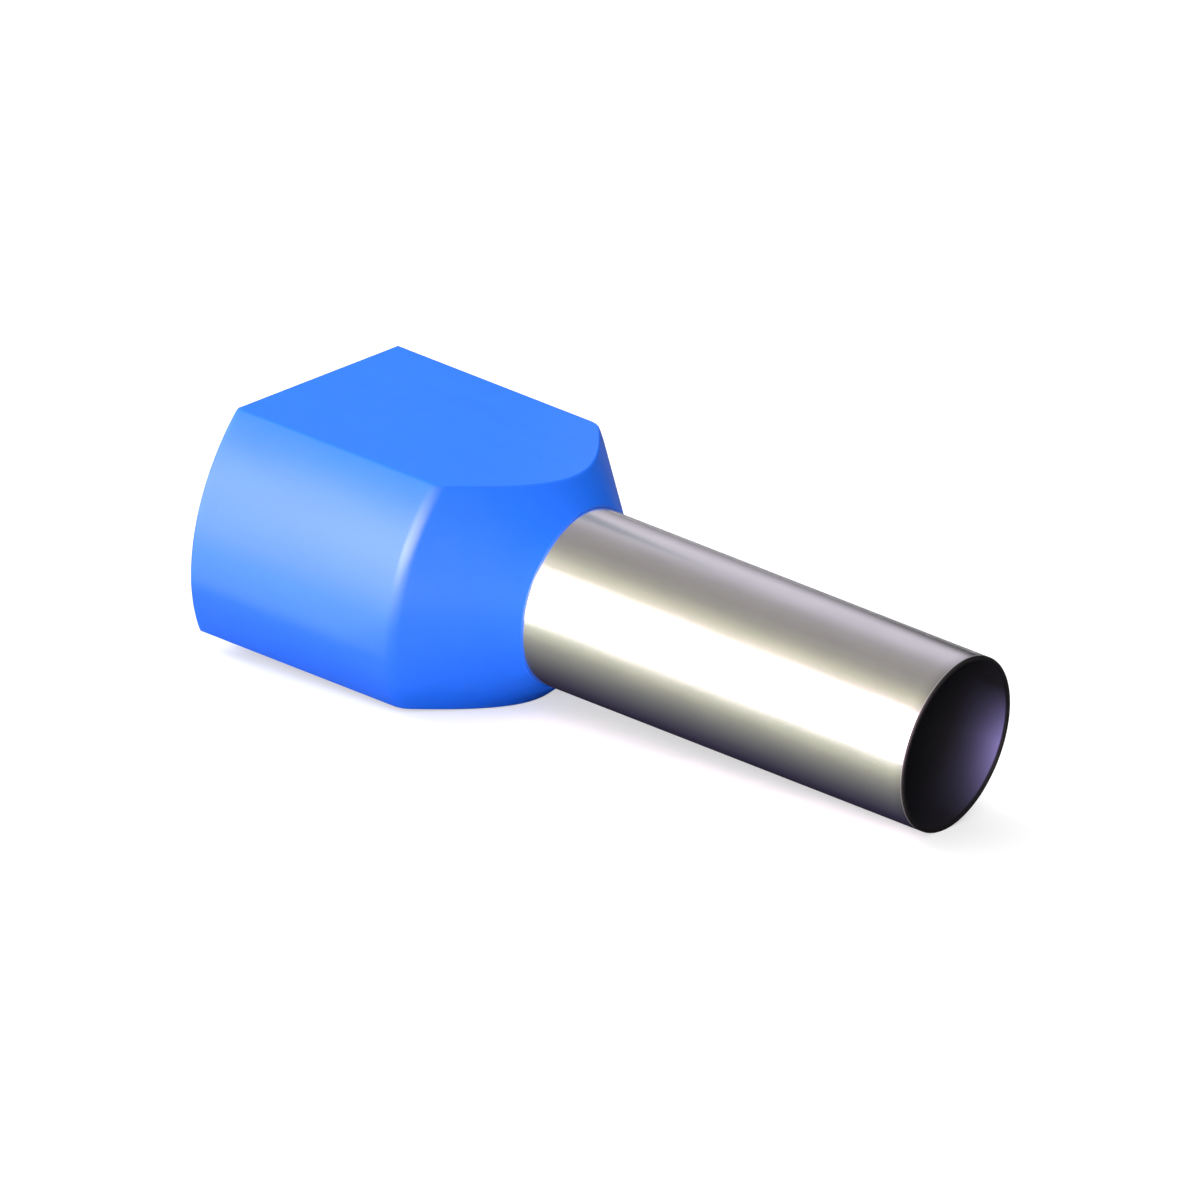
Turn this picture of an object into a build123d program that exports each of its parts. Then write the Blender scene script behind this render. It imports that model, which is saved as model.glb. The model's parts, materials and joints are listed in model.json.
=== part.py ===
from build123d import *
from math import cos, radians, sin, tan
import os

# Twin wire ferrule. A moulded plastic collar takes two insulated wires side by side, and the
# bare strands of both go on into one thin tinned copper sleeve, which is crimped around them.
# X runs along the sleeve to its free end, Z is square to the two flats of the collar, and the
# origin is on the axis at the nose of the collar, where the bare sleeve starts.
# Lengths are in millimetres and angles in degrees.

# Sleeve
sleeve_outer_d = 8.7
sleeve_wall = 0.2
sleeve_bare_length = 21.65
sleeve_end_round = 0.05
flare_start_depth = 0.1  # from the nose to where the hidden end of the sleeve starts to open

# Outside of the collar
collar_length = 15.7
collar_width = 17.6
shoulder_radius = 1.0
flat_edge_radius = 0.25
nose_land = 0.12  # width of the flat ring of plastic around the sleeve at the nose

# Inside of the collar
collar_wall = 0.65
mouth_chamfer = 0.3
flare_pass_clearance = 0.13  # lets the flare pass between the flats when the sleeve goes in
seat_clearance = 0.01

# The outer cone, the funnel and the flare share one slope, so the plastic keeps an even wall
taper_angle = 45.0

# Space by which a cutting body runs out past the face that it opens
cut_overrun = 1.0

taper_sin = sin(radians(taper_angle))
taper_cos = cos(radians(taper_angle))
taper_tan = tan(radians(taper_angle))

sleeve_outer_r = sleeve_outer_d / 2
sleeve_bore_r = sleeve_outer_r - sleeve_wall
nose_r = sleeve_outer_r + nose_land

# The bend of the flare is as wide as the plastic over it allows at the full wall
flare_bend_radius = collar_wall - flare_start_depth * taper_sin - nose_land * taper_cos
flare_bend_radius /= 1 - taper_cos
flare_lip_r = sleeve_outer_r + flare_bend_radius * (1 - taper_cos)

# The flats stand just far enough apart for the flare, and the sides for the two wires
cavity_r = collar_width / 2 - collar_wall
cavity_height = 2 * (flare_lip_r + flare_pass_clearance)
collar_outer_r = collar_width / 2
collar_height = cavity_height + 2 * collar_wall

# The slabs that cut the flats reach past the collar on every side
slab_length = 2 * (collar_length + cut_overrun)
slab_width = collar_width + 2 * cut_overrun


# Sleeve: one drawn tube, open at both ends, with its hidden end bent out as a trumpet mouth.
# Its section runs along the outside and round the bend, and the same again along the bore.
with BuildPart() as sleeve:
    with BuildSketch(Plane.XZ):
        with BuildLine():
            outside = Line((sleeve_bare_length, sleeve_outer_r), (-flare_start_depth, sleeve_outer_r))
            outer_bend = JernArc(outside @ 1, (-1, 0), flare_bend_radius, -taper_angle)
            bore = Line((sleeve_bare_length, sleeve_bore_r), (-flare_start_depth, sleeve_bore_r))
            inner_bend = JernArc(bore @ 1, (-1, 0), flare_bend_radius + sleeve_wall, -taper_angle)
            Line(outer_bend @ 1, inner_bend @ 1)
            Line(outside @ 0, bore @ 0)
        make_face()
    revolve(axis=Axis.X)
    free_rim = sleeve.faces().sort_by(Axis.X)[-1]
    fillet(free_rim.edges(), radius=sleeve_end_round)

sleeve.part.label = "sleeve"


# Hollow of the collar, as the core pin that moulds it: a seat that wraps the outside and the
# lip of the flare, a funnel that carries on flush from the inside of the flare, and the
# flat-sided cavity for the two wires.
with BuildPart() as collar_core:
    with BuildSketch(Plane.XZ):
        with BuildLine():
            seat_r = sleeve_outer_r + seat_clearance
            neck = Line((cut_overrun, seat_r), (-flare_start_depth, seat_r))
            seat_bend = JernArc(neck @ 1, (-1, 0), flare_bend_radius - seat_clearance, -taper_angle)
            up_the_slope = Vector(-taper_cos, taper_sin)
            across_the_lip = Vector(-taper_sin, -taper_cos)
            lip_recess = Line(seat_bend @ 1, seat_bend @ 1 + up_the_slope * seat_clearance)
            lip_step_height = sleeve_wall + seat_clearance
            lip_step = Line(lip_recess @ 1, lip_recess @ 1 + across_the_lip * lip_step_height)
            funnel_length = (cavity_r - (lip_step @ 1).Y) / taper_sin
            funnel = Line(lip_step @ 1, lip_step @ 1 + up_the_slope * funnel_length)
            behind_mouth = -collar_length - cut_overrun
            Polyline(funnel @ 1, (behind_mouth, cavity_r), (behind_mouth, 0), (cut_overrun, 0), neck @ 0)
        make_face()
    revolve(axis=Axis.X)
    Box(slab_length, slab_width, cavity_height, mode=Mode.INTERSECT)


# Collar: a round body that tapers to the sleeve, with two flats cut along it.
with BuildPart() as collar:
    with BuildSketch(Plane.XZ):
        with BuildLine():
            shoulder = ((nose_r - collar_outer_r) / taper_tan, collar_outer_r)
            Polyline(
                (-collar_length, 0),
                (-collar_length, collar_outer_r),
                shoulder,
                (0, nose_r),
                (0, 0),
                close=True,
            )
        make_face()
        fillet(vertices().sort_by_distance(shoulder)[0], radius=shoulder_radius)
    revolve(axis=Axis.X)
    Box(slab_length, slab_width, collar_height, mode=Mode.INTERSECT)
    flats = collar.faces().filter_by(Axis.Z)
    edges_past_the_rear = flats.edges().group_by(Axis.X)[1:]
    fillet(edges_past_the_rear, radius=flat_edge_radius)
    add(collar_core.part, mode=Mode.SUBTRACT)
    rear_face = collar.faces().sort_by(Axis.X)[0]
    chamfer(rear_face.inner_wires()[0].edges(), length=mouth_chamfer)

collar.part.label = "collar"


os.makedirs("parts", exist_ok=True)
for piece in (collar.part, sleeve.part):
    export_step(piece, f"parts/{piece.label}.step")

print(f"Collar {collar_length} long, {collar_width} wide and {collar_height:.3f} high.")
print(f"Flare lip radius {flare_lip_r:.3f}, cavity {2 * cavity_r:.2f} by {cavity_height:.3f}.")
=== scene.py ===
# %% [markdown]
# # A twin wire ferrule
# A ferrule is a small end piece for stranded wire. This one takes two wires: a blue plastic collar
# holds their insulation, and a thin tinned copper sleeve is crimped around their bare strands.
# We load the measured model first. It fixes every size, and the looks are built around it.

# %% Load the frame
import json
from math import atan2, cos, pi, radians, sin, tan

import bmesh
import bpy
from mathutils import Matrix, Vector


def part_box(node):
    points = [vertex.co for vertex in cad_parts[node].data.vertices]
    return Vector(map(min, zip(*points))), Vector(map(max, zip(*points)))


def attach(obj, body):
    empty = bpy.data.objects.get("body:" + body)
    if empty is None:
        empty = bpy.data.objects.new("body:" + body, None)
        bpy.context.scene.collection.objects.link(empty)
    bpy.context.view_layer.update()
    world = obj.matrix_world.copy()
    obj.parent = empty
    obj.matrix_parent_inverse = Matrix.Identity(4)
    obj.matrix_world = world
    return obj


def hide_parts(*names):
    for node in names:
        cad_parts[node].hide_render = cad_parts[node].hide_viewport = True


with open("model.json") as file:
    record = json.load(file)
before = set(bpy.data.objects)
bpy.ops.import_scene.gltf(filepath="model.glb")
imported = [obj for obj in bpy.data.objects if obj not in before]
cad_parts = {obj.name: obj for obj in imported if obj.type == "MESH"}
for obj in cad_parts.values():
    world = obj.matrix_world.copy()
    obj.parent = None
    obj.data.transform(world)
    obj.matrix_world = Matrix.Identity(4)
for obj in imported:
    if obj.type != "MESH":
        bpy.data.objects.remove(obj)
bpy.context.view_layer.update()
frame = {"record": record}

# %% [markdown]
# ## Sizes
# The row frame is in metres, so a named millimetre keeps the numbers readable. The large sizes are
# read from the loaded nodes and mounts, and only small ones, such as a radius, are written here.
# X runs along the sleeve to its free end, Z is square to the flats, and the origin is at the nose.

# %% Read the sizes from the frame
MM = 0.001

mounts = {mount["name"]: mount for mount in frame["record"]["mounts"]}
collar_low, collar_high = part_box("collar")
sleeve_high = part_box("sleeve")[1]

rear_x = collar_low.x
nose_x = collar_high.x
free_end_x = sleeve_high.x
collar_r = collar_high.y
half_height = collar_high.z
sleeve_r = mounts["sleeve_pin"]["dims"]["r_mm"] * MM
bore_r = mounts["conductor_bore"]["dims"]["r_mm"] * MM
sleeve_wall = sleeve_r - bore_r
flare_lip_r = sleeve_high.z

collar_wall = 0.65 * MM
nose_land = 0.12 * MM
shoulder_radius = 1.0 * MM
mouth_chamfer = 0.3 * MM
seat_clearance = 0.01 * MM
flare_start_depth = 0.1 * MM
end_round = 0.05 * MM
taper = radians(45)

nose_r = sleeve_r + nose_land
cavity_r = collar_r - collar_wall
cavity_half_height = half_height - collar_wall
bend_r = (flare_lip_r - sleeve_r) / (1 - cos(taper))
print(f"collar {2 * collar_r / MM:.2f} mm wide and {2 * half_height / MM:.2f} mm high")
print(f"sleeve {2 * sleeve_r / MM:.2f} mm across, with a wall of {sleeve_wall / MM:.2f} mm")

# %% [markdown]
# ## The camera
# The picture was drawn in parallel projection: the two edges of the sleeve stay parallel. So the
# camera is orthographic. Its direction, its small roll and its scale come from matching the
# outline, and the nose of the collar is put on the pixel where the photograph has it.

# %% Camera
image_side_px = 1200
nose_px = (575.5, 596.0)
px_per_mm = 21.512
camera_azimuth, camera_elevation, camera_roll = radians(30.635), radians(20.65), radians(9.515)
camera_distance = 0.3
nearest_seen, furthest_seen = 0.01, 10


def camera_axes(azimuth, elevation, roll):
    """The camera's right, up and backward directions in the row frame."""
    back = Vector((sin(azimuth) * cos(elevation), -cos(azimuth) * cos(elevation), sin(elevation)))
    level_right = Vector((cos(azimuth), sin(azimuth), 0))
    level_up = back.cross(level_right)
    right = level_right * cos(roll) + level_up * sin(roll)
    return right, back.cross(right), back


view_right, view_up, view_back = camera_axes(camera_azimuth, camera_elevation, camera_roll)
off_centre_right = (image_side_px / 2 - nose_px[0]) / px_per_mm * MM
off_centre_up = (nose_px[1] - image_side_px / 2) / px_per_mm * MM
look_at = Vector((nose_x, 0, 0)) + view_right * off_centre_right + view_up * off_centre_up

camera_data = bpy.data.cameras.new("camera")
camera_data.type = "ORTHO"
camera_data.ortho_scale = image_side_px / px_per_mm * MM
camera_data.clip_start = nearest_seen
camera_data.clip_end = furthest_seen
camera = bpy.data.objects.new("camera", camera_data)
bpy.context.scene.collection.objects.link(camera)
camera_turn = Matrix((view_right, view_up, view_back)).transposed().to_4x4()
camera.matrix_world = Matrix.Translation(look_at + view_back * camera_distance) @ camera_turn
bpy.context.scene.camera = camera
print(f"camera sees {camera_data.ortho_scale / MM:.2f} mm across")

# %% [markdown]
# ## Turning a section
# Both pieces started as round things: the sleeve is a drawn tube, and the mould of the collar was
# turned on a lathe. A lathe can be played by hand in edit mode: add a circle, extrude it along the
# axis, scale it to the next radius, and repeat. Each stop is a station, a place on the axis and a
# radius. This keeps clean rings of four-sided faces, which shade evenly.

# %% A lathe made of extrude and scale
segments = 256
merge_distance = 0.0005 * MM


def deselect_all():
    for thing in bpy.context.selected_objects:
        thing.select_set(False)


def make_active(piece):
    deselect_all()
    bpy.context.view_layer.objects.active = piece
    piece.select_set(True)


def turn(name, stations):
    """Turns a line of stations about the X axis, into a tube that is open at both ends."""
    deselect_all()
    first_x, first_r = stations[0]
    bpy.ops.mesh.primitive_circle_add(
        vertices=segments, radius=first_r, location=(first_x, 0, 0), rotation=(0, pi / 2, 0),
    )
    piece = bpy.context.active_object
    piece.name = piece.data.name = name
    bpy.ops.object.transform_apply(location=True, rotation=True, scale=True)
    bpy.ops.object.mode_set(mode="EDIT")
    bpy.ops.mesh.select_mode(type="EDGE")
    bpy.ops.mesh.select_all(action="SELECT")
    last_x, last_r = first_x, first_r
    for x, r in stations[1:]:
        bpy.ops.mesh.extrude_region_move(TRANSFORM_OT_translate={"value": (x - last_x, 0, 0)})
        bpy.ops.transform.resize(value=(1, r / last_r, r / last_r), center_override=(x, 0, 0))
        last_x, last_r = x, r
    bpy.ops.object.mode_set(mode="OBJECT")
    print(f"{name}: {len(stations)} stations, {len(piece.data.polygons)} faces")
    return piece


def close_up(piece):
    """Joins points that meet, closes open ends with one face each, and turns all faces outwards."""
    make_active(piece)
    bpy.ops.object.mode_set(mode="EDIT")
    bpy.ops.mesh.select_all(action="SELECT")
    bpy.ops.mesh.remove_doubles(threshold=merge_distance)
    bpy.ops.mesh.select_all(action="SELECT")
    bpy.ops.mesh.fill_holes(sides=0)
    bpy.ops.mesh.select_all(action="SELECT")
    bpy.ops.mesh.normals_make_consistent(inside=False)
    bpy.ops.object.mode_set(mode="OBJECT")
    print(f"{piece.name}: closed, {len(piece.data.polygons)} faces")


def arc(centre, radius, start, end, steps):
    """Stations on an arc in the plane of x and radius. Angles are from +X towards the outside."""
    angles = [start + (end - start) * i / steps for i in range(steps + 1)]
    return [(centre[0] + radius * cos(a), centre[1] + radius * sin(a)) for a in angles]


# %% [markdown]
# ## The sleeve
# On the real ferrule this is a thin tube with a tiny rounding at its cut end. Its hidden end is
# opened out like the bell of a trumpet, so that strands slide in without catching. A cylinder with
# a Solidify modifier would lose the bell, so the section is walked right round instead: along the
# outside, over the lip of the bell, back through the bore and over the rim.

# %% Sleeve
rim_steps = 4
bend_steps = 12

bend_centre = (-flare_start_depth, sleeve_r + bend_r)
outside_rim = arc((free_end_x - end_round, sleeve_r - end_round), end_round, 0, pi / 2, rim_steps)
outside_bend = arc(bend_centre, bend_r, -pi / 2, -pi / 2 - taper, bend_steps)
inside_bend = arc(bend_centre, bend_r + sleeve_wall, -pi / 2 - taper, -pi / 2, bend_steps)
inside_rim = arc((free_end_x - end_round, bore_r + end_round), end_round, -pi / 2, 0, rim_steps)
sleeve_stations = outside_rim + outside_bend + inside_bend + inside_rim + outside_rim[:1]
sleeve = turn("sleeve_tube", sleeve_stations)
close_up(sleeve)

# %% [markdown]
# ## The collar
# The collar is a round, tapering body with two flats, and it is hollow. The outside and the hollow
# are turned as two solid bars, and the hollow is taken out of the outside at the end.

# %% Turn the outside of the collar
shoulder_steps = 10
rear_bevel = 0.04 * MM

shoulder_x = nose_x - (collar_r - nose_r) / tan(taper)
shoulder_tangent = shoulder_radius * tan(taper / 2)
shoulder_centre = (shoulder_x - shoulder_tangent, collar_r - shoulder_radius)
shoulder = arc(shoulder_centre, shoulder_radius, pi / 2, pi / 2 - taper, shoulder_steps)
outside_stations = [(rear_x, collar_r - rear_bevel), (rear_x + rear_bevel, collar_r)]
outside_stations += shoulder + [(nose_x, nose_r)]
collar = turn("collar_moulding", outside_stations)

# %% [markdown]
# In edit mode an operator works on what is selected. By hand that is done with the mouse. In a
# script, each helper here takes a test and selects the points or faces that pass it.

# %% Select by place
def select_points(piece, wanted):
    """Selects the vertices whose place passes wanted(place)."""
    bpy.ops.mesh.select_mode(type="VERT")
    bpy.ops.mesh.select_all(action="DESELECT")
    mesh = bmesh.from_edit_mesh(piece.data)
    for vertex in mesh.verts:
        if wanted(vertex.co):
            vertex.select_set(True)
    mesh.select_flush_mode()
    bmesh.update_edit_mesh(piece.data)


def select_faces(piece, wanted):
    """Selects the faces that pass wanted(face), and returns how many there are."""
    bpy.ops.mesh.select_mode(type="FACE")
    bpy.ops.mesh.select_all(action="DESELECT")
    mesh = bmesh.from_edit_mesh(piece.data)
    picked = [face for face in mesh.faces if wanted(face)]
    for face in picked:
        face.select_set(True)
    bmesh.update_edit_mesh(piece.data)
    return len(picked)


# %% [markdown]
# Each flat meets the round sides in a softly rounded edge, which also follows the curve where the
# flat runs out on the cone. Bevel trips there, because its strips run into the close rings of the
# shoulder. So the round is pressed in instead. Bisect lays a few level lines just below and above
# the height of the flat. Then the lines move down, each a little more than the one below it, and
# all that still stands above them is scaled flat. The result is smooth and keeps the rings.

# %% Press the flats
round_reach = 0.11 * MM
round_steps = 6
near = 0.002 * MM
height_digits = 7
height_tolerance = 10 ** -height_digits


def press_points(piece, side, flat_z, belongs):
    """Moves the points that pass belongs(place) down to a flat, with a soft run-in below it."""
    foot, top = flat_z - round_reach, flat_z + round_reach
    mesh = bmesh.from_edit_mesh(piece.data)
    places = [vertex.co for vertex in mesh.verts if belongs(vertex.co)]
    heights = {round(side * place.z, height_digits) for place in places}
    for height in sorted(height for height in heights if foot < height < top):
        drop = (height - foot) ** 2 / (4 * round_reach)
        select_points(
            piece, lambda place: belongs(place) and abs(side * place.z - height) < height_tolerance,
        )
        bpy.ops.transform.translate(value=(0, 0, -side * drop))
    select_points(
        piece, lambda place: belongs(place) and side * place.z > flat_z + height_tolerance,
    )
    bpy.ops.transform.resize(value=(1, 1, 0), center_override=(0, 0, side * flat_z))


def press_flat(piece, side):
    """Presses one flat into a turned bar, on the upper (1) or the lower (-1) side."""
    for step in range(round_steps + 1):
        level = half_height + round_reach * (2 * step / round_steps - 1)
        bpy.ops.mesh.select_all(action="SELECT")
        bpy.ops.mesh.bisect(
            plane_co=(0, 0, side * level), plane_no=(0, 0, side), threshold=merge_distance,
        )
    press_points(piece, side, half_height, lambda place: place.x > rear_x + near)
    press_points(piece, side, half_height - rear_bevel, lambda place: place.x < rear_x + near)
    pressed = select_faces(piece, lambda face: all(
        abs(side * vertex.co.z - half_height) < height_tolerance for vertex in face.verts
    ))
    bpy.ops.mesh.dissolve_faces()
    print(f"{piece.name}: {pressed} faces became one flat")


make_active(collar)
bpy.ops.object.mode_set(mode="EDIT")
for side in (1, -1):
    press_flat(collar, side)
bpy.ops.object.mode_set(mode="OBJECT")
close_up(collar)

# %% [markdown]
# The hollow follows the sleeve's bell closely, then opens as a funnel into the flat-sided chamber
# for the two wires. It is turned as one more bar, which reaches past the collar at both ends so
# that the cut comes out clean.

# %% Turn the hollow
cut_overrun = 1.0 * MM

seat_r = sleeve_r + seat_clearance
lip_slope = Vector((-cos(taper), sin(taper)))
lip_inward = Vector((-sin(taper), -cos(taper)))
seat = arc(bend_centre, bend_r - seat_clearance, -pi / 2, -pi / 2 - taper, bend_steps)
lip_corner = Vector(seat[-1]) + lip_slope * seat_clearance
funnel_start = lip_corner + lip_inward * (sleeve_wall + seat_clearance)
funnel_end = funnel_start + lip_slope * ((cavity_r - funnel_start.y) / sin(taper))
hollow_stations = [(nose_x + cut_overrun, seat_r)] + seat
hollow_stations += [tuple(lip_corner), tuple(funnel_start), tuple(funnel_end)]
hollow_stations += [(rear_x - cut_overrun, cavity_r)]
hollow = turn("collar_hollow", hollow_stations)
close_up(hollow)

# %% [markdown]
# The flats of the hollow need no round, so two level planes simply slice them off. Bisect snaps to
# points within its threshold, a tenth of a millimetre unless told otherwise. That is a lot on so
# small a part, so every cut here is given a much finer one.

# %% Slice the flats of the hollow
def slice_bar(piece, point, normal):
    """Cuts away what lies past a plane, and closes the cut with one face."""
    bpy.ops.mesh.select_all(action="SELECT")
    bpy.ops.mesh.bisect(
        plane_co=point, plane_no=normal, use_fill=True, clear_outer=True, threshold=merge_distance,
    )


make_active(hollow)
bpy.ops.object.mode_set(mode="EDIT")
for side in (1, -1):
    slice_bar(hollow, (0, 0, side * cavity_half_height), (0, 0, side))
bpy.ops.object.mode_set(mode="OBJECT")
print(f"hollow after both cuts: {len(hollow.data.polygons)} faces")

# %% [markdown]
# Now the hollow is taken out of the outside with a Boolean modifier. Its exact solver keeps the
# thin wall clean, where the faster one can leave holes in it.

# %% Hollow the collar out
make_active(collar)
cut = collar.modifiers.new("hollow", "BOOLEAN")
cut.operation = "DIFFERENCE"
cut.solver = "EXACT"
cut.object = hollow
bpy.ops.object.modifier_apply(modifier=cut.name)
bpy.data.objects.remove(hollow)
print(f"collar after the cut: {len(collar.data.polygons)} faces")

# %% [markdown]
# The inner edge of the mouth has a small slanted lead-in, which guides the two wires in. A bevel of
# one step makes it well here, because all the faces around that edge are long or flat.

# %% Lead-in around the mouth
inner_share = 0.95


def is_mouth_edge(edge):
    """The inner outline of the rear face: it lies on that face, but not on the outer outline."""
    if any(abs(vertex.co.x - rear_x) > near for vertex in edge.verts):
        return False
    return all(
        max(abs(vertex.co.z) / half_height, Vector(vertex.co.yz).length / collar_r) < inner_share
        for vertex in edge.verts
    )


bpy.ops.object.mode_set(mode="EDIT")
bpy.ops.mesh.select_mode(type="EDGE")
bpy.ops.mesh.select_all(action="DESELECT")
mesh = bmesh.from_edit_mesh(collar.data)
mouth = [edge for edge in mesh.edges if is_mouth_edge(edge)]
for edge in mouth:
    edge.select_set(True)
bmesh.update_edit_mesh(collar.data)
bpy.ops.mesh.bevel(offset=mouth_chamfer, segments=1, affect="EDGES", clamp_overlap=False)
bpy.ops.object.mode_set(mode="OBJECT")
print(f"lead-in on {len(mouth)} edges")

# %% [markdown]
# ## Shading
# Smooth shading bends light across small angles and keeps real corners crisp. A weighted normal
# then lets the large faces decide, so the flats stay flat right up to their rounded edges.

# %% Smooth both pieces
crisp_angle = radians(32)


def smooth(piece):
    make_active(piece)
    bpy.ops.object.shade_smooth_by_angle(angle=crisp_angle)
    weighted = piece.modifiers.new("weighted", "WEIGHTED_NORMAL")
    weighted.keep_sharp = True
    bpy.ops.object.modifier_apply(modifier=weighted.name)
    triangles = sum(len(face.vertices) - 2 for face in piece.data.polygons)
    print(f"{piece.name}: {triangles} triangles")


smooth(sleeve)
smooth(collar)

# %% [markdown]
# ## Building materials from nodes
# A material is a small graph: places on the piece go in, numbers such as colour and roughness come
# out. A few short helpers make each graph readable. All of them start from Object coordinates,
# which stay fixed to the piece, so the pattern can't swim when the piece moves or the mesh changes.

# %% Node helpers
# The parts of a noise's range that hold most of it
noise_middle = (0.35, 0.65)
noise_wide = (0.3, 0.7)


def wire(tree, kind, inputs=None, **settings):
    """Adds a node, sets its options, and fills its inputs with values or with other outputs."""
    node = tree.nodes.new(kind)
    for option, value in settings.items():
        setattr(node, option, value)
    for key, value in (inputs or {}).items():
        socket = node.inputs[key]
        if isinstance(value, bpy.types.NodeSocket):
            tree.links.new(value, socket)
        else:
            socket.default_value = value
    return node


def reckon(tree, operation, first, second=0.0):
    """One sum, such as an addition, on one or two values."""
    return wire(tree, "ShaderNodeMath", {0: first, 1: second}, operation=operation).outputs[0]


def remap(tree, value, low, high, to_low=0.0, to_high=1.0):
    """Carries a value from one range over to another, and stops at both ends."""
    ranges = {"From Min": low, "From Max": high, "To Min": to_low, "To Max": to_high}
    return wire(tree, "ShaderNodeMapRange", {"Value": value, **ranges}).outputs["Result"]


def blend(tree, share, first, second, way="MIX"):
    """Mixes two colours. A Mix node has sockets for each kind of data, and only some are in use."""
    node = wire(tree, "ShaderNodeMix", data_type="RGBA", blend_type=way)
    for key, value in (("Factor", share), ("A", first), ("B", second)):
        socket = next(s for s in node.inputs if s.name == key and s.enabled)
        if isinstance(value, bpy.types.NodeSocket):
            tree.links.new(value, socket)
        else:
            socket.default_value = value
    return next(s for s in node.outputs if s.enabled)


def grain(tree, place, size, detail=3.0):
    """Noise with features of about the given size, which is one length or three."""
    scales = size if isinstance(size, tuple) else (size, size, size)
    stretch = wire(tree, "ShaderNodeMapping", {"Vector": place, "Scale": [1 / s for s in scales]})
    cloud = wire(tree, "ShaderNodeTexNoise", {
        "Vector": stretch.outputs[0], "Scale": 1.0, "Detail": detail,
    })
    return cloud.outputs[0]


def new_material(name):
    """An empty material with its shader, its output and the place on the piece."""
    material = bpy.data.materials.new(name)
    material.use_nodes = True
    tree = material.node_tree
    place = wire(tree, "ShaderNodeTexCoord").outputs["Object"]
    axes = wire(tree, "ShaderNodeSeparateXYZ", {0: place}).outputs
    return material, tree, place, axes


def dress(piece, material):
    """Gives a piece its only material."""
    piece.data.materials.clear()
    piece.data.materials.append(material)
    print(f"{piece.name} wears {material.name}, {len(material.node_tree.nodes)} nodes")


# %% [markdown]
# ## Blue plastic
# The collar is moulded polypropylene: a strong even blue with a satin skin. Up close such a skin is
# not perfect. The melt leaves long faint streaks along the part, the steel of the mould prints a
# fine grain, and the thin rear rim rubs pale where parts knock together in the bag. Each of these
# is one noise with its own size. They stay weak, because a new ferrule looks clean at arm's length.

# %% Blue plastic
blue_deep = (0.0028, 0.159, 0.965, 1)
blue_light = (0.0034, 0.166, 0.995, 1)
blue_rubbed = (0.03, 0.23, 1.0, 1)
streak_size = (6.0 * MM, 1.6 * MM, 1.6 * MM)

rub_reach = 0.30 * MM
rub_patch_size = 0.8 * MM
rub_patch_edge = (0.45, 0.65)
rub_share = 0.5
rub_roughness = 0.08

plastic_ior = 1.5
plastic_shine = 0.5
plastic_roughness = (0.36, 0.40)
plastic_cloud_size = 1.2 * MM
mould_grain_size = 0.16 * MM
mould_grain_height = 0.01 * MM
mould_grain_strength = 0.35


def rubbed_rim(tree, place, axes):
    """Pale patches on the rear rim: 1 where the plastic is rubbed, fading away from the rim."""
    near_rim = remap(tree, axes["X"], rear_x, rear_x + rub_reach, 1.0, 0.0)
    patches = remap(tree, grain(tree, place, rub_patch_size, detail=5.0), *rub_patch_edge)
    return reckon(tree, "MULTIPLY", near_rim, patches)


def moulded_plastic():
    material, tree, place, axes = new_material("moulded_blue_plastic")
    shader = tree.nodes["Principled BSDF"]
    shader.inputs["IOR"].default_value = plastic_ior
    shader.inputs["Specular IOR Level"].default_value = plastic_shine

    streaks = remap(tree, grain(tree, place, streak_size, detail=4.0), *noise_middle)
    base = blend(tree, streaks, blue_deep, blue_light)
    rubbed = rubbed_rim(tree, place, axes)
    colour = blend(tree, reckon(tree, "MULTIPLY", rubbed, rub_share), base, blue_rubbed)
    tree.links.new(colour, shader.inputs["Base Color"])

    skin = remap(tree, grain(tree, place, plastic_cloud_size), *noise_wide, *plastic_roughness)
    rougher = reckon(tree, "ADD", skin, reckon(tree, "MULTIPLY", rubbed, rub_roughness))
    tree.links.new(rougher, shader.inputs["Roughness"])

    bumps = wire(tree, "ShaderNodeBump", {
        "Height": grain(tree, place, mould_grain_size, detail=2.0),
        "Strength": mould_grain_strength, "Distance": mould_grain_height,
    })
    tree.links.new(bumps.outputs[0], shader.inputs["Normal"])
    return material


dress(collar, moulded_plastic())

# %% [markdown]
# ## Tinned copper
# The sleeve is drawn copper with a thin coat of bright tin, but it doesn't look the same all over.
# Its cut end and its bore are rougher and less metallic, and both are painted dark as painted
# shade.
# One material can hold all of it, if the graph can tell where a point lies: the distance from the
# axis tells the bore from the outside, and the place along the axis finds the rim.

# %% Find the bore and the rim
bore_edge = (bore_r + 0.1 * sleeve_wall, bore_r + 0.3 * sleeve_wall)
# The band at the free end that is rougher and painted near black, as a painted shade line
rim_edge = (free_end_x - 3.6 * end_round, free_end_x - 2.0 * end_round)


def inside_bore(tree, axes):
    """1 on the wall of the bore and 0 on the outside."""
    from_axis = reckon(tree, "SQRT", reckon(
        tree, "ADD",
        reckon(tree, "MULTIPLY", axes["Y"], axes["Y"]),
        reckon(tree, "MULTIPLY", axes["Z"], axes["Z"]),
    ))
    return remap(tree, from_axis, *bore_edge, 1.0, 0.0)


def on_rim(tree, axes):
    """1 on the cut end and 0 behind it."""
    return remap(tree, axes["X"], *rim_edge)


print(f"the cut end starts {(free_end_x - rim_edge[0]) / MM:.2f} mm from the free end")

# %% [markdown]
# The wall of the bore is painted dark, as painted shade. Near the mouth, low on the far side, the
# photograph shows a violet cast, added as a painted reflection. It is painted as three fades that
# are
# multiplied: along the bore, across it and down.

# %% Colour of the bore
# Painted shade for the dark bore, and a painted violet reflection near its mouth
bore_painted_shade = (0.022, 0.020, 0.025, 1)
bore_painted_reflection = (0.33, 0.30, 0.66, 1)
violet_depth = 3.2 * MM
violet_height = (0.5 * bore_r, -0.22 * bore_r)
mouth_power = 2.0
side_power = 3.0


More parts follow.
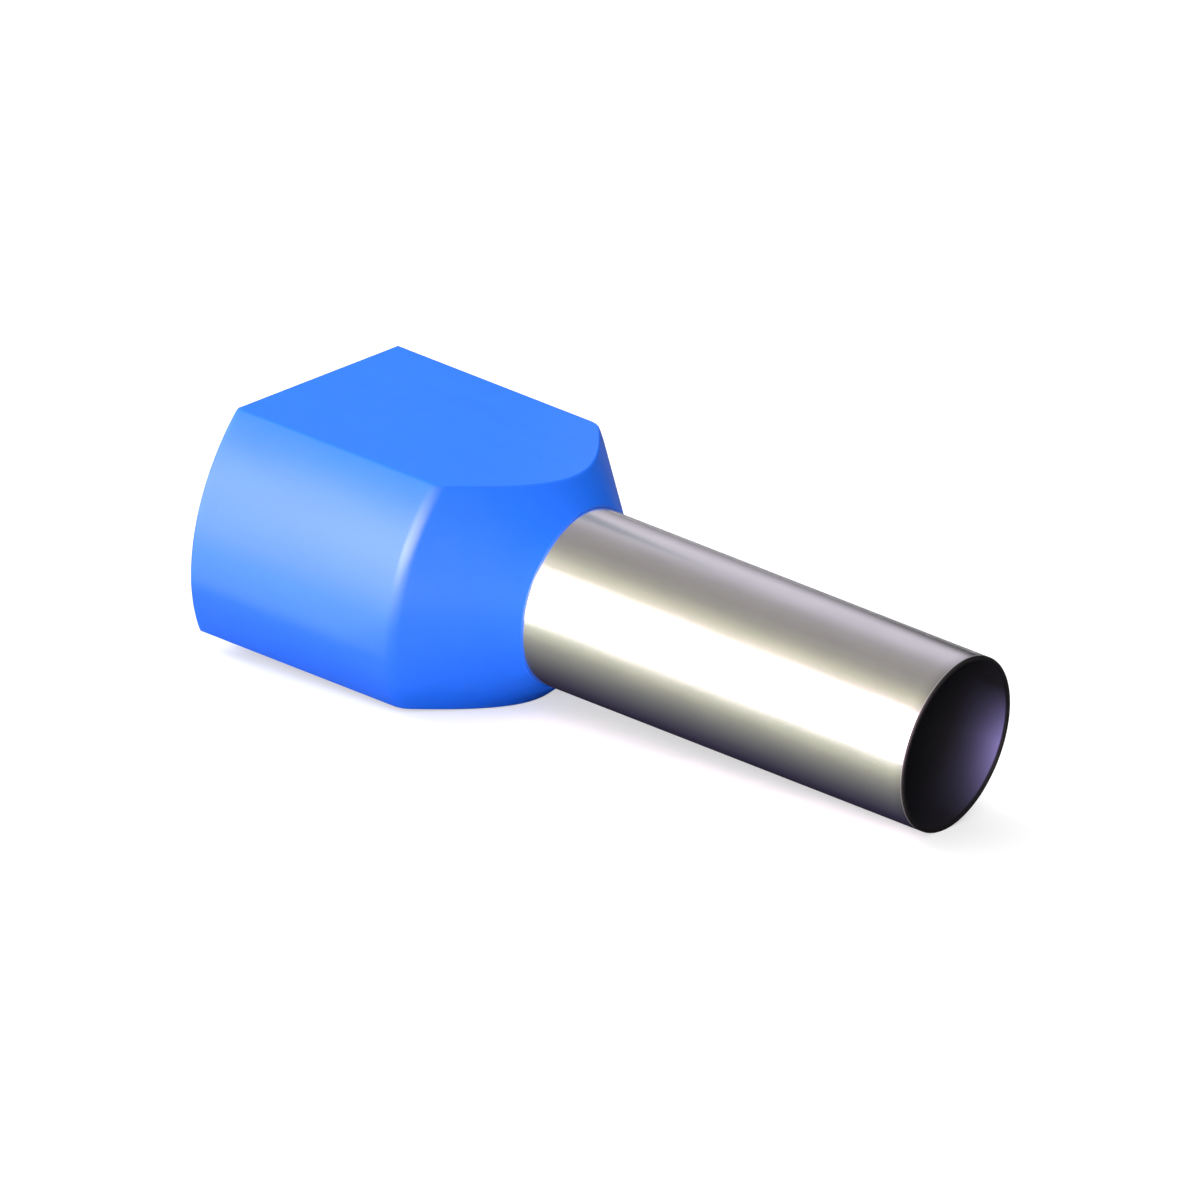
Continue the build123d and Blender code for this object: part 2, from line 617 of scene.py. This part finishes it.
def bore_shade_and_reflection(tree, axes):
    """Painted shade that darkens the bore, with a violet painted reflection low on the far side of
    the mouth.
    """
    mouth = remap(tree, axes["X"], free_end_x - violet_depth, free_end_x)
    far_side = reckon(tree, "POWER", remap(tree, axes["Y"], 0.0, bore_r), side_power)
    violet = reckon(tree, "MULTIPLY", reckon(tree, "POWER", mouth, mouth_power), far_side)
    violet = reckon(tree, "MULTIPLY", violet, remap(tree, axes["Z"], *violet_height))
    return blend(tree, violet, bore_painted_shade, bore_painted_reflection)


print(f"the violet cast reaches {violet_depth / MM:.1f} mm into the bore")

# %% [markdown]
# Now the whole metal. Drawing leaves hairlines along the tube, so their noise is stretched along X,
# and the tin cools in soft cloudy patches. The last bit before the rim is painted darker, as
# painted shade.

# %% Tinned copper
tin_bright = (0.95, 0.94, 0.905, 1)
tin_cloudy = (0.91, 0.90, 0.875, 1)
# Painted shade: the tin is darkened towards the free end by this grey
tin_painted_shade = (0.35, 0.34, 0.34, 1)
# Painted shade: the rim is painted near black, so it shows as a dark line
rim_painted_shade = (0.012, 0.011, 0.011, 1)
tin_cloud_size = (2.5 * MM, 1.4 * MM, 1.4 * MM)
shade_reach = 0.9 * MM
shade_power = 2.0
shade_share = 0.6

tin_shine = 0.25
tin_roughness = (0.19, 0.215)
tin_skin_size = (3.0 * MM, 0.5 * MM, 0.5 * MM)
worn_roughness = 0.35
worn_metallic = 0.25
hairline_size = (9.0 * MM, 0.10 * MM, 0.10 * MM)
hairline_depth = 0.003 * MM
hairline_strength = 0.40


def tinned_copper():
    material, tree, place, axes = new_material("tinned_copper")
    shader = tree.nodes["Principled BSDF"]
    shader.inputs["Specular IOR Level"].default_value = tin_shine
    inside, rim = inside_bore(tree, axes), on_rim(tree, axes)
    worn = reckon(tree, "MAXIMUM", inside, rim)

    clouds = remap(tree, grain(tree, place, tin_cloud_size, detail=4.0), *noise_middle)
    tin = blend(tree, clouds, tin_bright, tin_cloudy)
    # Painted shade: the tin fades to a darker grey over the last bit before the free end
    near_end = remap(tree, axes["X"], free_end_x - shade_reach, free_end_x)
    painted_shade_fade = reckon(tree, "POWER", near_end, shade_power)
    tin_with_shade = blend(tree, reckon(tree, "MULTIPLY", painted_shade_fade, shade_share), tin, tin_painted_shade)
    # Painted shade in the bore, with a painted violet reflection, and a near black painted shade on
    # the rim
    colour = blend(tree, inside, tin_with_shade, bore_shade_and_reflection(tree, axes))
    tree.links.new(blend(tree, rim, colour, rim_painted_shade), shader.inputs["Base Color"])

    skin = remap(tree, grain(tree, place, tin_skin_size), *noise_wide, *tin_roughness)
    rougher = reckon(tree, "ADD", skin, remap(tree, worn, 0.0, 1.0, 0.0, worn_roughness))
    tree.links.new(rougher, shader.inputs["Roughness"])
    tree.links.new(remap(tree, worn, 0.0, 1.0, 1.0, worn_metallic), shader.inputs["Metallic"])

    bumps = wire(tree, "ShaderNodeBump", {
        "Height": grain(tree, place, hairline_size, detail=2.0),
        "Strength": hairline_strength, "Distance": hairline_depth,
    })
    tree.links.new(bumps.outputs[0], shader.inputs["Normal"])
    return material


dress(sleeve, tinned_copper())

# %% [markdown]
# ## On the frame
# Each shown piece takes over from its plain CAD node, and rides on the one
# rigid body. From here on the physics model and the looks move together.

# %% Put both pieces on the frame
for piece, node, slot in (
    (collar, "collar", "collar_plastic"),
    (sleeve, "sleeve", "tinned_copper"),
):
    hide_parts(node)
    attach(piece, "root")
print("both pieces ride on the root")

# %% [markdown]
# ## The floor
# A loose ferrule lies on its sleeve's rim and on the front tip of the lower flat, so it leans a
# little. The part stays as modelled and the floor leans instead. The photograph stands on pure
# white, so the floor is lifted for the rays that see it, and its paint still takes the shadow.

# %% Floor
floor_side = 3.0
floor_paint = 0.55
floor_lift = 0.55
white = (1, 1, 1, 1)

rest_point = max((v.co for v in sleeve.data.vertices), key=lambda p: p.x - p.z)
rest_slope = max(
    atan2(rest_point.z - v.co.z, rest_point.x - v.co.x)
    for v in collar.data.vertices if v.co.z < 0 and v.co.x < 0
)
deselect_all()
bpy.ops.mesh.primitive_plane_add(size=floor_side, location=rest_point, rotation=(0, -rest_slope, 0))
floor = bpy.context.active_object
floor.name = "floor"
print(f"the floor leans by {rest_slope * 180 / pi:.2f} degrees")


def seen_rays(tree):
    """1 for camera, glossy and transmission rays, and 0 for the rays that only light things."""
    path = wire(tree, "ShaderNodeLightPath").outputs
    direct = reckon(tree, "MAXIMUM", path["Is Camera Ray"], path["Is Glossy Ray"])
    return reckon(tree, "MAXIMUM", direct, path["Is Transmission Ray"])


def pale_floor():
    material, tree, _, _ = new_material("pale_floor")
    shader = tree.nodes["Principled BSDF"]
    shader.inputs["Base Color"].default_value = (floor_paint, floor_paint, floor_paint, 1)
    shader.inputs["Roughness"].default_value = 1.0
    shader.inputs["Specular IOR Level"].default_value = 0.0
    shader.inputs["Emission Color"].default_value = white
    lifted = reckon(tree, "MULTIPLY", seen_rays(tree), floor_lift)
    tree.links.new(lifted, shader.inputs["Emission Strength"])
    return material


dress(floor, pale_floor())

# %% [markdown]
# ## The studio
# A large soft ceiling gives most of the light. It is brighter above and a little to the left, so
# the side of the cone that faces away turns deep blue, as in the photograph. Rays that show the
# world directly get plain white instead, which keeps the background clean.

# %% World
ceiling_way = (-0.42, -0.15, 0.895)
ambient_low, ambient_high = 0.02, 1.50
side_tint = (0.84, 0.82, 1.0, 1)
tint_end = 0.6

world = bpy.data.worlds.new("studio")
bpy.context.scene.world = world
world.use_nodes = True
tree = world.node_tree
tree.nodes.clear()
ray_way = wire(tree, "ShaderNodeTexCoord").outputs["Generated"]
towards_ceiling = wire(
    tree, "ShaderNodeVectorMath", {0: ray_way, 1: ceiling_way}, operation="DOT_PRODUCT",
).outputs["Value"]
level = remap(tree, towards_ceiling, 0.0, 1.0, ambient_low, ambient_high)
tint = blend(tree, remap(tree, towards_ceiling, 0.0, tint_end), side_tint, white)
ambient = wire(tree, "ShaderNodeBackground", {"Color": tint, "Strength": level})
backdrop = wire(tree, "ShaderNodeBackground", {"Color": white, "Strength": 1.0})
either = wire(tree, "ShaderNodeMixShader", {
    0: seen_rays(tree), 1: ambient.outputs[0], 2: backdrop.outputs[0],
})
wire(tree, "ShaderNodeOutputWorld", {"Surface": either.outputs[0]})
print(f"ceiling light from {ambient_low} to {ambient_high}")

# %% [markdown]
# ## Lamps
# Four square soft boxes shape the part: a weak key from the front left, one low in front, a fill
# from the camera's side, and one from the rear left that lifts the top flat and lights the mouth.
# Each level is written as the brightness that white paper facing the lamp would get, because that
# number stays the same when a lamp is moved nearer or further away. The rear one is kept out of
# reflections, so it doesn't burn a white patch into the top flat.

# %% Lamps
def soft_box(name, azimuth, elevation, distance, side, level):
    """A square lamp aimed at the object. level is the brightness of white paper facing it."""
    back = camera_axes(radians(azimuth), radians(elevation), roll=0)[2]
    data = bpy.data.lights.new(name, "AREA")
    data.shape = "SQUARE"
    data.size = side
    data.energy = level * pi ** 2 * distance ** 2
    lamp = bpy.data.objects.new(name, data)
    lamp.location = back * distance
    lamp.rotation_euler = back.to_track_quat("Z", "Y").to_euler()
    bpy.context.scene.collection.objects.link(lamp)
    print(f"{name}: {data.energy:.3f} W")
    return lamp


soft_box("key_lamp", azimuth=-30, elevation=22, distance=0.35, side=0.18, level=0.08)
soft_box("front_lamp", azimuth=5, elevation=8, distance=0.35, side=0.12, level=0.17)
soft_box("fill_lamp", azimuth=31, elevation=21, distance=0.40, side=0.12, level=0.34)
rear_lamp = soft_box(
    "rear_lamp", azimuth=-80, elevation=30, distance=0.35, side=0.15, level=0.82,
)
rear_lamp.visible_glossy = False

bpy.context.scene.view_settings.view_transform = "Standard"

# %% [markdown]
# ## Reflection cards
# Polished metal has almost no look of its own: it shows its surroundings. Product photographers
# therefore surround it with white and black cards. These cards do the same, and they are set up so
# that only reflections see them. They aren't in the picture, and they cast no light and no shadow.
# Each one glows by itself, in a colour that may change over it.

# %% Glow that only reflections see
def glossy_only(card):
    """A card that only shows in reflections: it isn't seen, and it gives no light or shadow."""
    card.visible_camera = False
    card.visible_diffuse = False
    card.visible_transmission = False
    card.visible_volume_scatter = False
    card.visible_shadow = False


def greys(*stops):
    """Turns stops of a place and a level into stops of a place and a grey."""
    return [(place, (level, level, level)) for place, level in stops]


def ramp(tree, value, stops):
    """Colour by a value from 0 to 1. Each stop is a place and a colour."""
    node = wire(tree, "ShaderNodeValToRGB", {"Fac": value})
    elements = node.color_ramp.elements
    elements[0].position, elements[0].color = stops[0][0], (*stops[0][1], 1)
    elements[1].position, elements[1].color = stops[-1][0], (*stops[-1][1], 1)
    for place, colour in stops[1:-1]:
        elements.new(place).color = (*colour, 1)
    return node.outputs["Color"]


def glow_only(tree, colour, strength):
    """Leaves nothing but emission in a material."""
    tree.nodes.remove(tree.nodes["Principled BSDF"])
    glow = wire(tree, "ShaderNodeEmission", {"Color": colour, "Strength": strength})
    tree.links.new(glow.outputs[0], tree.nodes["Material Output"].inputs["Surface"])


# %% [markdown]
# The first card is a long hood around the whole scene. Its brightness changes with the angle about
# the sleeve, so it draws the soft lengthwise bands of the tube. It also fades along its length.

# %% Hood
hood_radius = 0.5
hood_length = 1.6
hood_sides = 128

deselect_all()
bpy.ops.mesh.primitive_cylinder_add(
    vertices=hood_sides, radius=hood_radius, depth=hood_length, end_fill_type="NOTHING",
    rotation=(0, pi / 2, 0),
)
hood = bpy.context.active_object
hood.name = "reflection_hood"
bpy.ops.object.transform_apply(location=True, rotation=True, scale=True)
glossy_only(hood)

# Degrees about the X axis, from behind the object (0) over the top (90) to the front (180)
hood_stops = (
    (-10, (0.08, 0.078, 0.09)),
    (5, (0.27, 0.257, 0.295)),
    (30, (0.68, 0.64, 0.755)),
    (50, (0.57, 0.54, 0.635)),
    (70, (0.33, 0.315, 0.335)),
    (92, (0.262, 0.247, 0.245)),
    (108, (0.312, 0.312, 0.275)),
    (122, (0.51, 0.52, 0.39)),
    (128, (0.66, 0.67, 0.505)),
    (138, (0.68, 0.69, 0.52)),
)
# Metres along the hood, and how much of the glow is left there
hood_fade = (
    (-0.80, 0.4),
    (-0.37, 0.4),
    (-0.31, 1.0),
    (-0.22, 1.0),
    (-0.14, 0.5),
    (0.10, 0.5),
    (0.40, 0.85),
    (0.80, 0.9),
)
material, tree, _, axes = new_material("hood_glow")
angle = reckon(tree, "ARCTAN2", axes["Z"], axes["Y"])
turn_share = remap(tree, angle, -pi, pi)
turn_stops = [((degrees + 180) / 360, colour) for degrees, colour in hood_stops]
length_share = remap(tree, axes["X"], -hood_length / 2, hood_length / 2)
length_stops = greys(*((x / hood_length + 0.5, grey) for x, grey in hood_fade))
around, along = ramp(tree, turn_share, turn_stops), ramp(tree, length_share, length_stops)
bands = blend(tree, 1.0, around, along, "MULTIPLY")
glow_only(tree, bands, 1.0)
dress(hood, material)

# %% [markdown]
# The other cards are flat. Each is a plane whose own X and Y run from 0 to 1, so that its colours
# are easy to place on it. Some lie level, some lie on the leaning floor, and some stand upright.

# %% Flat cards
near_gap = 0.02 * MM
level_z = rest_point.z - near_gap


def floor_z(x):
    """The height of a card that lies on the leaning floor."""
    return rest_point.z + (x - rest_point.x) * tan(rest_slope) + near_gap


def card(name, x_range, length, place, rotation):
    """A glossy-only card. Its own X and Y run from 0 to 1 over its width and its length."""
    deselect_all()
    bpy.ops.mesh.primitive_plane_add(size=1, location=(0.5, 0.5, 0))
    piece = bpy.context.active_object
    piece.name = name
    bpy.ops.object.transform_apply(location=True, rotation=False, scale=False)
    piece.scale = (x_range[1] - x_range[0], length, 1)
    piece.rotation_euler = rotation
    piece.location = (x_range[0], *place)
    glossy_only(piece)
    return piece


def level_card(name, x_range, y_range):
    length = y_range[1] - y_range[0]
    return card(name, x_range, length, (y_range[0], level_z), (0, 0, 0))


def floor_card(name, x_range, y_range):
    length, place = y_range[1] - y_range[0], (y_range[0], floor_z(x_range[0]))
    return card(name, x_range, length, place, (0, -rest_slope, 0))


def standing_card(name, x_range, y, z_range):
    return card(name, x_range, z_range[1] - z_range[0], (y, z_range[0]), (pi / 2, 0, 0))


def card_glow(piece, stops, strength=1.0, along=None):
    """Emission that changes over a card's length, with stops in mm, and also over its width."""
    material, tree, _, axes = new_material(piece.name + "_glow")
    first, last = stops[0][0], stops[-1][0]
    places = [((mm - first) / (last - first), colour) for mm, colour in stops]
    colour = ramp(tree, axes["Y"], places)
    if along:
        colour = blend(tree, 1.0, colour, ramp(tree, axes["X"], along), "MULTIPLY")
    glow_only(tree, colour, strength)
    dress(piece, material)


print(f"level cards lie at {level_z / MM:.2f} mm")

# %% [markdown]
# Four mats draw the underside. They go from white at the front to near black under the part, which
# gives the tube its dark lower edge. The one under the sleeve is level, so its bands stay parallel,
# and another takes over where the floor rises past the sleeve's end.

# %% Mats under the sleeve
mat_y = (-15 * MM, 200 * MM)
sleeve_mat_x = (-5 * MM, rest_point.x)
end_mat_x = (rest_point.x - 0.5 * MM, 200 * MM)

rear_stops = (
    (6.0, (0.01, 0.01, 0.02)),
    (14.0, (0.09, 0.085, 0.10)),
    (30.0, (0.20, 0.19, 0.215)),
    (200.0, (0.22, 0.21, 0.24)),
)
tube_stops = (
    (-15.0, (0.82, 0.83, 0.75)),
    (-11.0, (0.65, 0.68, 0.555)),
    (-8.2, (0.445, 0.465, 0.37)),
    (-6.3, (0.27, 0.27, 0.25)),
    (-4.9, (0.16, 0.17, 0.17)),
    (-3.6, (0.08, 0.08, 0.105)),
    (-2.4, (0.030, 0.028, 0.056)),
    (-1.5, (0.004, 0.004, 0.018)),
) + rear_stops

sleeve_mat = level_card("sleeve_mat", sleeve_mat_x, mat_y)
end_mat = floor_card("end_mat", end_mat_x, mat_y)
card_glow(sleeve_mat, tube_stops)
card_glow(end_mat, tube_stops)

# %% [markdown]
# A wide mat lies on the floor under the collar, and a bright strip in front of it lights the
# collar's lower near side. Both grow dim near the nose, so that the sleeve doesn't show them.

# %% Mats under the collar
side_glow = 5.5
side_y = (-15 * MM, -9.3 * MM)
collar_mat_x = (-90 * MM, 0.3 * MM)

side_mat = level_card("side_mat", collar_mat_x, side_y)
card_glow(side_mat, (
    (-15.0, (0.80, 0.86, 0.74)),
    (-11.0, (0.62, 0.68, 0.54)),
    (-9.3, (0.51, 0.56, 0.44)),
), side_glow, greys((0.0, 1.0), (0.90, 1.0), (0.95, 1 / side_glow), (1.0, 1 / side_glow)))

collar_mat = floor_card("collar_mat", collar_mat_x, mat_y)
card_glow(collar_mat, (
    (-15.0, (0.95, 0.95, 0.88)),
    (-9.0, (0.60, 0.60, 0.54)),
    (-7.5, (0.32, 0.32, 0.28)),
    (-6.0, (0.18, 0.18, 0.17)),
    (-4.0, (0.06, 0.06, 0.06)),
    (-2.0, (0.005, 0.005, 0.01)),
) + rear_stops, 1.0, greys((0.0, 1.0), (0.930, 1.0), (0.960, 0.2), (1.0, 0.2)))

# %% [markdown]
# The pale sheen on the near side of the collar is the soft reflection of a very bright panel in
# front. It is far brighter than white, because plastic reflects only a few percent of it. Its tint
# leans to pink so that the sheen stays neutral on the blue. A dimmer panel beside it is the one
# that the sleeve shows as the soft upper edge of its white band.

# %% Bright panels in front
glow_level = 32
side_panel_share = 0.20
panel_y = -150 * MM
panel_z = (-40 * MM, 120 * MM)
front_panel_x = (-60 * MM, 95 * MM)
side_panel_x = (-110 * MM, -60 * MM)

front_panel = standing_card("front_panel", front_panel_x, panel_y, panel_z)
card_glow(front_panel, (
    (-40.0, (0.40, 0.29, 0.36)),
    (0.0, (0.52, 0.375, 0.47)),
    (20.0, (1.0, 0.70, 0.90)),
    (45.0, (1.0, 0.70, 0.90)),
    (80.0, (0.68, 0.46, 0.58)),
    (120.0, (0.25, 0.165, 0.21)),
), glow_level, greys(
    (0.0, 0.80), (0.10, 1.0), (0.28, 1.0), (0.46, 0.80), (0.72, 0.46), (1.0, 0.34),
))

side_panel = standing_card("side_panel", side_panel_x, panel_y, panel_z)
card_glow(side_panel, (
    (-40.0, (1.0, 0.75, 0.92)),
    (20.0, (1.0, 0.75, 0.92)),
    (44.0, (0.77, 0.71, 0.66)),
    (70.0, (0.40, 0.40, 0.33)),
    (95.0, (0.15, 0.155, 0.115)),
    (120.0, (0.070, 0.075, 0.050)),
), side_panel_share * glow_level)

# %% [markdown]
# The floor between the panels and the mats carries their glow on. It fades towards the part, so
# that the lower bands of the sleeve run into its white band softly.

# %% Bright floor in front
front_floor_x = (-110 * MM, 20 * MM)
front_floor_share = 0.44

front_floor = floor_card("front_floor", front_floor_x, (panel_y, mat_y[0]))
card_glow(front_floor, (
    (-150.0, (0.47, 0.38, 0.42)),
    (-45.0, (0.47, 0.38, 0.42)),
    (-28.0, (0.54, 0.44, 0.48)),
    (-22.0, (0.45, 0.40, 0.41)),
    (-18.0, (0.25, 0.25, 0.225)),
    (-15.0, (0.11, 0.125, 0.105)),
), front_floor_share * glow_level, greys(
    (0.0, 1.0), (0.777, 1.0), (0.823, 0.72), (1.0, 0.72),
))

# %% [markdown]
# A nearly black flag stands behind the nose. Photographers use one to keep an edge dark: without it
# the far side of the cone would mirror the white backdrop and look washed out. A small grey card
# stands close behind the collar. It dims what the top flat mirrors and leaves the sleeve alone,
# because it ends before the sleeve's reflections reach it.

# %% Dark cards behind
flag_y = 200 * MM
flag_x = (-92 * MM, 220 * MM)
flag_z = (-5 * MM, 260 * MM)
flag_black = (0.04, 0.04, 0.04)

grey_y = 32 * MM
grey_x = (-90 * MM, -21 * MM)
grey_z = (3 * MM, 45 * MM)
soft_grey = (0.27, 0.30, 0.36)

flag = standing_card("black_flag", flag_x, flag_y, flag_z)
card_glow(flag, ((0.0, flag_black), (1.0, flag_black)))
grey_card = standing_card("grey_card", grey_x, grey_y, grey_z)
card_glow(grey_card, ((0.0, soft_grey), (1.0, soft_grey)))
